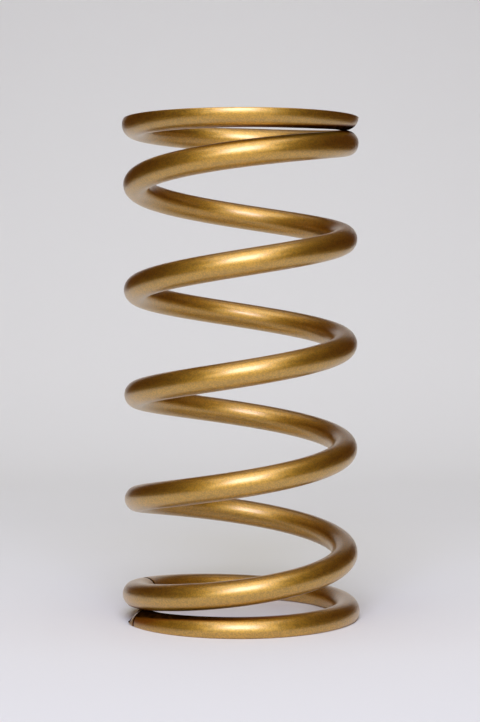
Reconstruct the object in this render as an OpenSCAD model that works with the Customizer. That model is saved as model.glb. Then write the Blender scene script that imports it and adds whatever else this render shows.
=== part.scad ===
// Compression coil spring: round wire wound right-handed, with closed ends ground flat.
// The axis is Z. The lower seat is on z = 0 and the upper seat on z = free_length.

/* [Coil] */

// Length from seat to seat with no load, mm
free_length = 178.6; // [165:0.1:220]
// Inside diameter of the open coils, mm
inside_d = 65; // [55:0.5:80]
// Diameter of the painted wire, mm
wire_d = 9.25; // [7:0.05:11]
// Coils from the lower tip to the upper tip
total_coils = 6.435; // [5.5:0.005:7]
// Direction of the lower tip from the axis, degrees
tip_angle = 199; // [0:1:359]

/* [Closed ends] */

// Depth ground off the lower end coil where it lies flat, mm
lower_grind = 2.9; // [2:0.1:3.5]
// Depth ground off the upper end coil where it lies flat, mm
upper_grind = 3.3; // [2:0.1:3.5]
// Climb of an end coil over one turn before the pitch opens, mm
closed_climb = 1.8; // [0:0.1:3]
// Turns from the lower tip to where the pitch begins to open
lower_closed_turns = 0.43; // [0.3:0.005:0.5]
// Turns from the upper tip to where the pitch begins to open
upper_closed_turns = 0.415; // [0.3:0.005:0.5]
// Turns over which the pitch then opens at the lower end
lower_opening_turns = 0.94; // [0.9:0.01:1.15]
// Turns over which the pitch then opens at the upper end
upper_opening_turns = 1.03; // [0.9:0.01:1.15]
// Least turns over which a tip is bent towards its seat
tip_bend_turns = 0.18; // [0.15:0.01:0.35]
// Gap left between a tip and the coil it closes on, mm
tip_gap = 0.15; // [0.1:0.05:0.6]
// Bevel round a cut tip, mm
tip_bevel = 1; // [0.4:0.1:1.5]
// Extra radius of the lower end coil, mm
lower_swell = 0.9; // [0:0.05:1.2]
// Extra radius of the upper end coil, mm
upper_swell = 0.45; // [0:0.05:1.2]
// Turns from a tip over which an end coil keeps its extra radius
swell_turns = 1.05; // [0.9:0.01:1.2]
// Turns over which the extra radius then dies out
fade_turns = 0.55; // [0.4:0.01:0.7]

/* [Facets] */

// Sections along one turn of wire
turn_steps = 40; // [24:4:48]
// Corners round the wire
wire_sides = 20; // [12:4:24]

/* [Hidden] */

wire_r = wire_d / 2;
mean_r = inside_d / 2 + wire_r;
half_coils = total_coils / 2;
// An end: [height of the wire's centre over the seat where it lies flat, turns closed, turns opening]
lower_end = [wire_r - lower_grind, lower_closed_turns, lower_opening_turns];
upper_end = [wire_r - upper_grind, upper_closed_turns, upper_opening_turns];
function lift(end) = end[0];
function closed(end) = end[1];
function opening(end) = end[2];

// Turns at full pitch, counting half of each stretch over which the pitch opens
function lost_turns(end) = closed(end) + opening(end) / 2;
pitch_turns = total_coils - lost_turns(lower_end) - lost_turns(upper_end);
// Climb per turn that the open coils have over the closed ones
extra_climb = (free_length - lift(lower_end) - lift(upper_end) - closed_climb * total_coils) / pitch_turns;
// Turns of wire that a bevel takes up
bevel_turns = tip_bevel / (2 * PI * mean_r);
steps = round(total_coils * turn_steps);

function clamp(x, low, high) = min(max(x, low), high);

// Height of the wire's centre over a seat, by turns from that end's tip
function opened(turns, end) = clamp(turns - closed(end), 0, opening(end));
function unbent_height(turns, end) =
    lift(end) + closed_climb * turns
    + extra_climb * (pow(opened(turns, end), 2) / (2 * opening(end))
                     + max(turns - closed(end) - opening(end), 0));

// Bend of a tip towards its seat, so that it clears the next coil, the turns it takes,
// enough for the tip to climb no faster than that coil, and the share of it left further on
function tip_drop(end) = max(0, wire_d + tip_gap - (unbent_height(1, end) - lift(end)));
function tip_bend(end) =
    max(tip_bend_turns, 2 * tip_drop(end) * opening(end) / (extra_climb * opened(1, end)));
function tip_share(turns, end) = max(1 - turns / tip_bend(end), 0);

function end_height(turns, end) =
    unbent_height(turns, end) - tip_drop(end) * pow(tip_share(turns, end), 2);

// Climb of the wire per turn at that height
function end_climb(turns, end) =
    closed_climb + extra_climb * opened(turns, end) / opening(end)
    + 2 * tip_drop(end) * tip_share(turns, end) / tip_bend(end);

// Height and climb of the wire's centre by turns from the lower tip
function wire_height(turns) =
    turns < half_coils ? end_height(turns, lower_end)
    : free_length - end_height(total_coils - turns, upper_end);
function wire_climb(turns) =
    turns < half_coils ? end_climb(turns, lower_end) : end_climb(total_coils - turns, upper_end);

// Radius of the wire's centre by turns from the lower tip
function kept(turns) = pow(cos(90 * clamp((turns - swell_turns) / fade_turns, 0, 1)), 2);
function coil_r(turns) =
    mean_r + lower_swell * kept(turns) + upper_swell * kept(total_coils - turns);

// Slope of the wire, degrees
function slope(turns) = atan(wire_climb(turns) / (2 * PI * coil_r(turns)));

// Corners of the wire's section, square to the wire, from its top and round by its outside
function section(turns, r) =
    let (turn = tip_angle + 360 * turns, tilt = slope(turns))
    [for (k = [0 : wire_sides - 1])
        let (a = 360 * k / wire_sides, out = coil_r(turns) + r * sin(a), up = r * cos(a))
        [out * cos(turn) + up * sin(tilt) * sin(turn),
         out * sin(turn) - up * sin(tilt) * cos(turn),
         wire_height(turns) + up * cos(tilt)]];

// Sections from tip to tip, the first and last drawn in by the bevel: [turns, radius]
stations = concat(
    [[0, wire_r - tip_bevel], [bevel_turns, wire_r]],
    [for (i = [1 : steps - 1]) [i * total_coils / steps, wire_r]],
    [[total_coils - bevel_turns, wire_r], [total_coils, wire_r - tip_bevel]]);

module wound_wire() {
    n = wire_sides;
    last_ring = (len(stations) - 1) * n;
    points = [for (s = stations) each section(s[0], s[1])];
    sides = [for (i = [0 : len(stations) - 2], k = [0 : n - 1])
        let (a = i * n + k, b = i * n + (k + 1) % n)
        each [[a, b, b + n], [a, b + n, a + n]]];
    tips = [[for (k = [n - 1 : -1 : 0]) k], [for (k = [0 : n - 1]) last_ring + k]];
    polyhedron(points = points, faces = concat(sides, tips), convexity = 20);
}

// What the grinding takes off one end, from its seat outwards along +Z
module grinding() {
    reach = mean_r + wire_d;
    translate([-reach, -reach, 0]) cube([2 * reach, 2 * reach, wire_d]);
}

module coil_spring() {
    color([0.66, 0.5, 0.22])
    difference() {
        wound_wire();
        translate([0, 0, free_length]) grinding();
        mirror([0, 0, 1]) grinding();
    }
}

coil_spring();
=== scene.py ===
"""Gold-painted compression spring on a pale studio sweep.

Lengths are in metres, unless a name says otherwise.
"""

import math

import bpy
import numpy as np
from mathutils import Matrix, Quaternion, Vector


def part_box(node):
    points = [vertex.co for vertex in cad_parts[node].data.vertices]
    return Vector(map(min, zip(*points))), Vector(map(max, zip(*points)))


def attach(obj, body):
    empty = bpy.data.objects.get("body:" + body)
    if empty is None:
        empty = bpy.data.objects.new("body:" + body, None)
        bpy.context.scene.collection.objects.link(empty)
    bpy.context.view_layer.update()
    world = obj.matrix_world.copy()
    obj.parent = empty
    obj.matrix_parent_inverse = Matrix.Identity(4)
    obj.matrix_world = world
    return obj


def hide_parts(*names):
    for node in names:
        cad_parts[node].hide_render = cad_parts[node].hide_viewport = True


MM = 0.001

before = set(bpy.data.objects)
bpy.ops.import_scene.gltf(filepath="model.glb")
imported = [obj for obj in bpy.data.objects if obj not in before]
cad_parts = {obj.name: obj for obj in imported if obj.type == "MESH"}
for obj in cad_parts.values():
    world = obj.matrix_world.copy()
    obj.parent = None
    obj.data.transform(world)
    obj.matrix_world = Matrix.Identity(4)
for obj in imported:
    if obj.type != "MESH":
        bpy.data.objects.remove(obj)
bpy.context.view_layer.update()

# The coil, as the CAD source winds it
FREE_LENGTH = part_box("coil_spring")[1].z
INSIDE_R = 32.5 * MM
WIRE_D = 9.25 * MM
WIRE_R = 0.9965 * WIRE_D / 2                # a hair inside the source's corners, to stay in its box
TOTAL_COILS = 6.435
TIP_ANGLE = math.radians(199)
LOWER_GRIND, UPPER_GRIND = 2.9 * MM, 3.3 * MM
CLOSED_CLIMB = 1.8 * MM
# Each end: height of the wire's centre over the seat, turns closed, and turns over which the pitch opens
LOWER_END = WIRE_D / 2 - LOWER_GRIND, 0.43, 0.94
UPPER_END = WIRE_D / 2 - UPPER_GRIND, 0.415, 1.03
TIP_BEND_TURNS = 0.18
TIP_GAP = 0.05 * MM                         # less than the source's, since paint closes it
TIP_BEVEL = 1.0 * MM
LOWER_SWELL, UPPER_SWELL = 0.9 * MM, 0.45 * MM
SWELL_TURNS, FADE_TURNS = 1.05, 0.55

# How finely it is drawn
TURN_STEPS = 96
WIRE_SIDES = 64
EDGE_ROUND = 0.25 * MM                      # softness that the paint gives a ground edge
MARK_RINGS_MM = 1.4, 8.0, 0.2               # from, to and step of the finer rings by the tips' marks

# Marks on the lower tip: the flat across its outer top, the crease where that flat begins, which is also
# painted with shade, the painted shade along the edge at the cut, and the edge taken off the underside
CHAMFER, CHAMFER_AROUND = 5.2 * MM, math.radians(45)
CREASE_WIDTH, CREASE_DEPTH = 0.6 * MM, 0.15 * MM
RIM = 2.0 * MM
TOE, TOE_LIFT = 4.0 * MM, 1.2 * MM

# The crack, with its reach round the wire from the top outwards
CRACK_ANGLE, CRACK_WIDTH, CRACK_DEPTH = math.radians(159), 0.65 * MM, 0.12 * MM
CRACK_FROM, CRACK_TO, CRACK_FADE = math.radians(-130), math.radians(45), 0.3

# Paint and dirt that bridge a tip and the next coil, and the reach of the painted shade and dirt between
# them
SEAM_TURNS, SEAM_WIDTH, SEAM_FILL = 0.06, 0.3, 0.97
SHADE_AND_GRIME_TURNS = 0.25

# The paint, in linear colour, and the tints of painted shade and dirt over it, from none to the thickest
GOLD_DEEP, GOLD_PALE = (0.44, 0.245, 0.008), (0.605, 0.334, 0.018)
SHADE_AND_DIRT_TINTS = (1.0, 1.0, 1.0), (0.4, 0.22, 0.15), (0.02, 0.012, 0.012)
ROUGHNESS, SHADE_AND_DIRT_ROUGHNESS = 0.45, 0.7
COAT_ROUGHNESS, COAT_IOR = 0.3, 1.9

# Sizes of the paint's unevenness, and how far each sways the depth of the gold
FLAKE_SIZE, FLAKE_SWAY = 0.4 * MM, 0.55
MOTTLE_SIZE, MOTTLE_SWAY = 2.2 * MM, 0.2
DRIFT_SIZE, DRIFT_SWAY = 14 * MM, 0.14
SATIN_SIZE, PEEL_SIZE = 1.1 * MM, 0.9 * MM
BUMP_HEIGHT = 0.02 * MM

# The sweep: a floor that bends up into a wall
SWEEP_FRONT, SWEEP_BACK, SWEEP_HALF = -1.2, 0.9, 0.4
SWEEP_BEND, SWEEP_TOP, BEND_STEPS = 0.45, 0.5, 24
# Its greys as (share of the way, grey). The way is depth plus height, from the front edge to GREYS_END.
# The front is darker, because the lamps stand near it.
GREYS_END = 1.3
SWEEP_GREYS = ((0.0, 0.3), (0.2, 0.4), (0.32, 0.6), (0.4, 0.79), (0.49, 0.83),
               (0.586, 0.842), (0.664, 0.893), (0.772, 0.878), (1.0, 0.77))
SWEEP_BLUE = 0.96                           # blue as a share of the grey

# The cream card on the floor, in front of what the photograph shows
CARD_FRONT, CARD_BACK, CARD_HALF, CARD_UP = -0.9, -0.2, 0.25, 3 * MM
CARD_COLOR = (0.92, 0.82, 0.52)

ROOM_GLOW = (0.06, 0.014, 0.004)            # dim brown room round the sweep and its lamps
MATT = {"Roughness": 0.9, "Specular IOR Level": 0.1}

# The photograph's camera, in the frame's own axes
LENS_MM, SENSOR_MM = 88.4, 36
CAMERA_AT = Vector((-0.48, -635.4, 118.1)) * MM
CAMERA_PITCH, CAMERA_YAW, CAMERA_ROLL = (math.radians(a) for a in (2.34, 0.02, -0.12))

# What follows from the sizes above
MEAN_R = INSIDE_R + WIRE_D / 2
TURN_LENGTH = 2 * math.pi * MEAN_R
HALF_COILS = TOTAL_COILS / 2
EXTRA_CLIMB = (FREE_LENGTH - LOWER_END[0] - UPPER_END[0] - CLOSED_CLIMB * TOTAL_COILS) / (
    TOTAL_COILS - sum(closed + opening / 2 for _, closed, opening in (LOWER_END, UPPER_END)))
CRACK_TURN = (CRACK_ANGLE - TIP_ANGLE) / (2 * math.pi) % 1
CHORD = math.cos(CHAMFER_AROUND)


def opened(turns, end):
    """Turns gone through of those over which the pitch opens."""
    _, closed, opening = end
    return np.clip(turns - closed, 0, opening)


def unbent_height(turns, end):
    """Height of the wire's centre over a seat, by turns from that end's tip, before the tip is bent."""
    lift, closed, opening = end
    past = np.maximum(turns - closed - opening, 0)
    return lift + CLOSED_CLIMB * turns + EXTRA_CLIMB * (opened(turns, end) ** 2 / (2 * opening) + past)


def tip_drop(end):
    """Bend of a tip towards its seat, so that it clears the next coil."""
    lift, _, _ = end
    return max(0, WIRE_D + TIP_GAP - (unbent_height(1, end) - lift))


def tip_bend(end):
    """Turns that the bend takes."""
    _, _, opening = end
    return max(TIP_BEND_TURNS, 2 * tip_drop(end) * opening / (EXTRA_CLIMB * opened(1, end)))


def tip_share(turns, end):
    return np.maximum(1 - turns / tip_bend(end), 0)


def end_height(turns, end):
    return unbent_height(turns, end) - tip_drop(end) * tip_share(turns, end) ** 2


def end_climb(turns, end):
    """Climb per turn at that height."""
    _, _, opening = end
    return (CLOSED_CLIMB + EXTRA_CLIMB * opened(turns, end) / opening
            + 2 * tip_drop(end) * tip_share(turns, end) / tip_bend(end))


def wire_height(turns):
    """Height of the wire's centre, by turns from the lower tip."""
    return np.where(turns < HALF_COILS, end_height(turns, LOWER_END),
                    FREE_LENGTH - end_height(TOTAL_COILS - turns, UPPER_END))


def wire_climb(turns):
    return np.where(turns < HALF_COILS, end_climb(turns, LOWER_END),
                    end_climb(TOTAL_COILS - turns, UPPER_END))


def kept(turns):
    """Share of an end coil's extra radius that is left."""
    return np.cos(np.pi / 2 * np.clip((turns - SWELL_TURNS) / FADE_TURNS, 0, 1)) ** 2


def coil_r(turns):
    return MEAN_R + LOWER_SWELL * kept(turns) + UPPER_SWELL * kept(TOTAL_COILS - turns)


def ground(height, toe):
    """Heights of surface points, ground flat past either seat or below the toe, with soft edges."""
    def over(h):
        return (h + np.sqrt(h * h + EDGE_ROUND**2)) / 2
    return FREE_LENGTH - over(FREE_LENGTH - toe - over(height - toe))


def bell(x, width):
    return np.exp(-((x / width) ** 2))


def rise(x, low, high):
    """Smooth step from 0 at low to 1 at high."""
    t = np.clip((x - low) / (high - low), 0, 1)
    return t * t * (3 - 2 * t)


def signed(angle):
    """The same angle, from -pi to pi."""
    return (angle + np.pi) % (2 * np.pi) - np.pi


def wire_radius(turns, around):
    """Radius of the wire's skin, with its bevelled tips and its marks."""
    from_low, from_high = turns * TURN_LENGTH, (TOTAL_COILS - turns) * TURN_LENGTH
    bevel = np.maximum(TIP_BEVEL - from_low, 0) + np.maximum(TIP_BEVEL - from_high, 0)
    flat = WIRE_R * (1 - CHORD / np.maximum(np.cos(around - CHAMFER_AROUND), CHORD))
    chamfer = flat * np.maximum(1 - from_low / CHAMFER, 0)
    cuts = bevel + chamfer + CREASE_DEPTH * crease(turns, around) + CRACK_DEPTH * crack(turns, around)
    return WIRE_R - cuts + seam(turns, around)


def crease(turns, around):
    """1 along the line where the lower tip's chamfer begins, on the outside of the wire, 0 elsewhere."""
    outside = rise(np.cos(around - 2 * CHAMFER_AROUND), 0.7, 0.9)
    return bell(turns * TURN_LENGTH - CHAMFER, CREASE_WIDTH) * outside


def seam(turns, around):
    """Ridge along a tip that fills the last of its wedge."""
    def ridge(from_tip, end, side):
        wedge = end_height(from_tip + 1, end) - end_height(from_tip, end) - 2 * WIRE_R
        reach = rise(-from_tip, -SEAM_TURNS, -0.6 * SEAM_TURNS)
        return SEAM_FILL * wedge * reach * bell(side, SEAM_WIDTH)
    return ridge(turns, LOWER_END, signed(around)) + ridge(TOTAL_COILS - turns, UPPER_END, around - np.pi)


def crack(turns, around):
    """1 along a thin line across the wire, shortly before it passes over the lower tip, 0 elsewhere."""
    along = (turns - CRACK_TURN) * TURN_LENGTH
    side = signed(around)
    inside = rise(side, CRACK_FROM, CRACK_FROM + CRACK_FADE) * rise(-side, -CRACK_TO, CRACK_FADE - CRACK_TO)
    return np.minimum(1.6 * bell(along, CRACK_WIDTH), 1) * inside


def shade_and_grime(turns, around):
    """Painted shade, with some dirt, in the wedges where a tip closes on the next coil, from 0 to 1."""
    def along_tip(from_tip, facing):
        """On the side of the tip that faces the next coil, widest at the tip."""
        width = 0.1 + 0.4 * np.maximum(1 - from_tip / SHADE_AND_GRIME_TURNS, 0)
        reach = rise(-from_tip, -1.5 * SHADE_AND_GRIME_TURNS, -0.5 * SHADE_AND_GRIME_TURNS)
        return rise(facing, 1 - width, 1 - 0.5 * width) * reach

    def beside_tip(from_tip, facing):
        """On the next coil, where it faces the tip."""
        return rise(facing, 0.6, 0.98) * rise(-np.abs(from_tip - 1), -SHADE_AND_GRIME_TURNS / 2, 0)

    top, under = np.cos(around), -np.cos(around)
    from_low, left = turns * TURN_LENGTH, TOTAL_COILS - turns
    # Painted shade cast by the coil above onto the top of the lower tip
    tip_top_shade = 0.75 * rise(top, -0.3, 0.6) * rise(-turns, -0.55 * SHADE_AND_GRIME_TURNS, -0.1 * SHADE_AND_GRIME_TURNS)
    lower = (along_tip(turns, top) + tip_top_shade) * rise(from_low, CHAMFER - CREASE_WIDTH, CHAMFER)
    lower = lower + beside_tip(turns, under)
    upper = along_tip(left, under) + beside_tip(left, top)
    # Painted shade along the edge at the cut and, in the sum below, in the crease where the chamfer begins
    rim = rise(-from_low, -1.15 * RIM, -0.85 * RIM)
    return np.clip(lower + upper + 0.9 * crease(turns, around) + rim, 0, 1)


def stations():
    """Turns at which the wire has a ring of points, with more of them at the tips and the crack."""
    even = np.linspace(0, TOTAL_COILS, round(TOTAL_COILS * TURN_STEPS) + 1)
    bevel = np.array([0, 0.06, 0.5, 0.94, 1, 1.06]) * TIP_BEVEL
    tip = np.concatenate([bevel, np.arange(*MARK_RINGS_MM) * MM]) / TURN_LENGTH
    fine = np.arange(-6, 7) * CRACK_WIDTH / 3 / TURN_LENGTH
    turns = np.concatenate([even, tip, TOTAL_COILS - tip, CRACK_TURN + fine])
    turns = np.unique(np.round(turns, 7))
    return turns[(turns >= 0) & (turns <= TOTAL_COILS)]


def smooth_mesh(name, verts, faces):
    mesh = bpy.data.meshes.new(name)
    mesh.from_pydata(verts, [], faces)
    mesh.polygons.foreach_set("use_smooth", [True] * len(mesh.polygons))
    return mesh


def wire_mesh(name):
    """The wire as rings of points from tip to tip, closed by a point at each end."""
    turns = stations()[:, None]
    around = np.linspace(0, 2 * np.pi, WIRE_SIDES, endpoint=False)[None]
    tilt = np.arctan2(wire_climb(turns), 2 * np.pi * coil_r(turns))
    turn = TIP_ANGLE + 2 * np.pi * turns
    radius = wire_radius(turns, around)
    out = coil_r(turns) + radius * np.sin(around)
    up = radius * np.cos(around)
    toe = TOE_LIFT * np.maximum(1 - turns * TURN_LENGTH / TOE, 0)
    points = np.stack([out * np.cos(turn) + up * np.sin(tilt) * np.sin(turn),
                       out * np.sin(turn) - up * np.sin(tilt) * np.cos(turn),
                       ground(wire_height(turns) + up * np.cos(tilt), toe)], axis=-1)

    n, count = WIRE_SIDES, len(turns)
    last = (count - 1) * n
    verts = np.concatenate([points.reshape(-1, 3), points[[0, -1]].mean(axis=1)])
    faces = [(i * n + k, i * n + (k + 1) % n, (i + 1) * n + (k + 1) % n, (i + 1) * n + k)
             for i in range(count - 1) for k in range(n)]
    faces += [(count * n, (k + 1) % n, k) for k in range(n)]
    faces += [(count * n + 1, last + k, last + (k + 1) % n) for k in range(n)]
    mesh = smooth_mesh(name, verts.tolist(), faces)
    for key, field in (("shade_and_grime", shade_and_grime), ("crack", crack)):
        values = np.append(np.broadcast_to(field(turns, around), points.shape[:2]).ravel(), [0, 0])
        mesh.attributes.new(key, "FLOAT", "POINT").data.foreach_set("value", values)
    return mesh


def sweep_mesh(name):
    """Floor that curves up into a wall behind the spring."""
    bend_from = SWEEP_BACK - SWEEP_BEND
    profile = [(SWEEP_FRONT, 0.0), (bend_from, 0.0)]
    profile += [(bend_from + SWEEP_BEND * math.sin(a), SWEEP_BEND - SWEEP_BEND * math.cos(a))
                for a in np.linspace(0, math.pi / 2, BEND_STEPS)[1:]]
    profile.append((SWEEP_BACK, SWEEP_TOP))
    verts = [(x, y, z) for y, z in profile for x in (-SWEEP_HALF, SWEEP_HALF)]
    faces = [(2 * i, 2 * i + 1, 2 * i + 3, 2 * i + 2) for i in range(len(profile) - 1)]
    return smooth_mesh(name, verts, faces)


def card_mesh(name):
    verts = [(x, y, CARD_UP) for y in (CARD_FRONT, CARD_BACK) for x in (-CARD_HALF, CARD_HALF)]
    return smooth_mesh(name, verts, [(0, 1, 3, 2)])


class Nodes:
    """A new material, whose nodes are added with their inputs set or linked by name or place."""

    def __init__(self, name):
        self.material = bpy.data.materials.new(name)
        self.material.use_nodes = True
        self.tree = self.material.node_tree
        self.tree.nodes.clear()

    def add(self, kind, inputs=None, **settings):
        node = self.tree.nodes.new(kind)
        for key, value in settings.items():
            setattr(node, key, value)
        for key, value in (inputs or {}).items():
            if isinstance(value, bpy.types.NodeSocket):
                self.tree.links.new(value, node.inputs[key])
            else:
                node.inputs[key].default_value = value
        return node

    def surface(self, inputs):
        """The material, with a surface that has these inputs."""
        shader = self.add("ShaderNodeBsdfPrincipled", inputs)
        self.add("ShaderNodeOutputMaterial", {"Surface": shader.outputs["BSDF"]})
        return self.material


def gold_paint():
    """Satin gold paint: metal flake of uneven depth under a clear coat, with painted shade and some dirt
    where a tip closes.
    """
    n = Nodes("gold_paint")
    place = n.add("ShaderNodeTexCoord").outputs["Object"]

    def noise(size, detail):
        texture = n.add("ShaderNodeTexNoise", {"Vector": place, "Scale": 1 / size, "Detail": detail})
        return texture.outputs["Fac"]

    def spread(value, middle, sway):
        """A noise, with the middle half of its range spread from middle - sway to middle + sway."""
        scaled = n.add("ShaderNodeMapRange", {"Value": value, "From Min": 0.25, "From Max": 0.75,
                                              "To Min": middle - sway, "To Max": middle + sway})
        return scaled.outputs["Result"]

    def combine(a, b, operation="ADD"):
        return n.add("ShaderNodeMath", {0: a, 1: b}, operation=operation).outputs["Value"]

    flake = n.add("ShaderNodeTexVoronoi", {"Vector": place, "Scale": 1 / FLAKE_SIZE}).outputs["Color"]
    glint = n.add("ShaderNodeSeparateColor", {"Color": flake}).outputs["Red"]
    mottle = noise(MOTTLE_SIZE, 3)
    drift = noise(DRIFT_SIZE, 2)
    fine_depth = combine(spread(glint, 0, FLAKE_SWAY), spread(mottle, 0, MOTTLE_SWAY))
    gold = n.add("ShaderNodeValToRGB", {"Fac": combine(fine_depth, spread(drift, 0.5, DRIFT_SWAY))})
    for stop, color in zip(gold.color_ramp.elements, (GOLD_DEEP, GOLD_PALE)):
        stop.color = *color, 1

    # The attribute read here holds painted shade with some dirt; with the crack it darkens the gold through
    # reddish brown to black and takes away its metal and coat.
    shade_and_grime_here = n.add("ShaderNodeAttribute", attribute_name="shade_and_grime").outputs["Fac"]
    crack_here = n.add("ShaderNodeAttribute", attribute_name="crack").outputs["Fac"]
    uneven_shade_and_grime = combine(shade_and_grime_here, spread(mottle, 0.99, 0.05), "MULTIPLY")
    shade_and_dirt = combine(uneven_shade_and_grime, crack_here, "MAXIMUM")
    unshaded_and_clean = combine(1.0, shade_and_dirt, "SUBTRACT")
    tints = n.add("ShaderNodeValToRGB", {"Fac": shade_and_dirt})
    tints.color_ramp.elements.new(0.5)
    for stop, tint in zip(tints.color_ramp.elements, SHADE_AND_DIRT_TINTS):
        stop.color = *tint, 1

    # A Mix node has its factor at 0, its two numbers at 2 and 3, and its two colours at 6 and 7
    color = n.add("ShaderNodeMix", {0: 1.0, 6: gold.outputs["Color"], 7: tints.outputs["Color"]},
                  data_type="RGBA", blend_type="MULTIPLY").outputs[2]
    satin = combine(spread(noise(SATIN_SIZE, 2), ROUGHNESS, 0.03), spread(glint, 0, 0.02))
    rough = n.add("ShaderNodeMix", {0: shade_and_dirt, 2: satin, 3: SHADE_AND_DIRT_ROUGHNESS}).outputs[0]

    peel = n.add("ShaderNodeBump", {"Height": noise(PEEL_SIZE, 2), "Strength": 0.25,
                                    "Distance": BUMP_HEIGHT}).outputs["Normal"]
    sparkle = n.add("ShaderNodeBump", {"Height": glint, "Strength": 0.85,
                                       "Distance": BUMP_HEIGHT, "Normal": peel}).outputs["Normal"]
    return n.surface({
        "Base Color": color, "Metallic": unshaded_and_clean, "Roughness": rough, "Normal": sparkle,
        "Specular IOR Level": 0.0,
        "Coat Weight": unshaded_and_clean, "Coat Roughness": COAT_ROUGHNESS, "Coat IOR": COAT_IOR, "Coat Normal": peel})


def pale_sweep():
    """Matt pale grey, uneven from the front of the floor to the top of the wall."""
    n = Nodes("pale_sweep")
    place = n.add("ShaderNodeSeparateXYZ", {0: n.add("ShaderNodeTexCoord").outputs["Object"]}).outputs
    way = n.add("ShaderNodeMath", {0: place["Y"], 1: place["Z"]}, operation="ADD").outputs[0]
    share = n.add("ShaderNodeMapRange", {"Value": way, "From Min": SWEEP_FRONT, "From Max": GREYS_END})
    ramp = n.add("ShaderNodeValToRGB", {"Fac": share.outputs["Result"]})
    stops = ramp.color_ramp.elements
    for at, _ in SWEEP_GREYS[1:-1]:
        stops.new(at)
    for stop, (_, grey) in zip(stops, SWEEP_GREYS):
        stop.color = grey, grey, SWEEP_BLUE * grey, 1
    return n.surface({"Base Color": ramp.outputs["Color"], **MATT})


def cream_card():
    return Nodes("cream_card").surface({"Base Color": (*CARD_COLOR, 1), **MATT})


def add_object(name, data):
    obj = bpy.data.objects.new(name, data)
    bpy.context.scene.collection.objects.link(obj)
    return obj


def softbox(name, at, aim, size, watts, color=(1, 1, 1)):
    """Area lamp that the camera doesn't see."""
    data = bpy.data.lights.new(name, "AREA")
    data.shape = "RECTANGLE"
    data.size, data.size_y = size
    data.energy = watts
    data.color = color
    obj = add_object(name, data)
    obj.visible_camera = False
    obj.location = at
    obj.rotation_mode = "QUATERNION"
    obj.rotation_quaternion = (Vector(aim) - Vector(at)).to_track_quat("-Z", "Y")
    return obj


spring = add_object("spring_wire", wire_mesh("spring_wire"))
spring.data.materials.append(gold_paint())
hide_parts("coil_spring")
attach(spring, "root")

floor = add_object("studio_sweep", sweep_mesh("studio_sweep"))
floor.data.materials.append(pale_sweep())

# The metal alone shows the card
card = add_object("front_card", card_mesh("front_card"))
card.data.materials.append(cream_card())
card.visible_camera = False
card.visible_shadow = False
card.visible_diffuse = False

middle = (0, 0, FREE_LENGTH / 2)
softbox("key", (-0.03, -1.05, 0.85), middle, size=(0.7, 0.7), watts=13.0, color=(0.6, 0.645, 1))
softbox("canopy", (-0.03, -0.4, 1.3), middle, size=(1.2, 0.9), watts=6.7, color=(1, 0.95, 0.8))
softbox("front", (0, -1.4, 0.5), middle, size=(2.0, 0.8), watts=7.6, color=(1, 0.94, 0.66))
softbox("back", (0, 0.5, 1.3), middle, size=(1.0, 0.6), watts=1.2)

# Two lamps for the sweep, which the metal doesn't show
overhead = softbox("overhead", (0, 0.1, 1.8), (0, 0.1, 0), size=(1.8, 1.8), watts=2.9, color=(0.6, 0.85, 1))
wall = softbox("wall", (0, 0.1, 1.6), (0, 0.9, 0.35), size=(1.2, 0.3), watts=3.9, color=(0.8, 0.94, 1))
overhead.visible_glossy = False
wall.visible_glossy = False

world = bpy.data.worlds.new("studio")
bpy.context.scene.world = world
world.use_nodes = True
background = world.node_tree.nodes["Background"]
background.inputs["Color"].default_value = *ROOM_GLOW, 1
background.inputs["Strength"].default_value = 1.0

camera = add_object("camera", bpy.data.cameras.new("camera"))
camera.data.lens = LENS_MM
camera.data.sensor_width = SENSOR_MM
camera.location = CAMERA_AT
camera.rotation_mode = "QUATERNION"
ahead = Vector((math.sin(CAMERA_YAW) * math.cos(CAMERA_PITCH),
                math.cos(CAMERA_YAW) * math.cos(CAMERA_PITCH),
                -math.sin(CAMERA_PITCH)))
camera.rotation_quaternion = ahead.to_track_quat("-Z", "Y") @ Quaternion((0, 0, 1), CAMERA_ROLL)
bpy.context.scene.camera = camera
bpy.context.scene.view_settings.view_transform = "Standard"
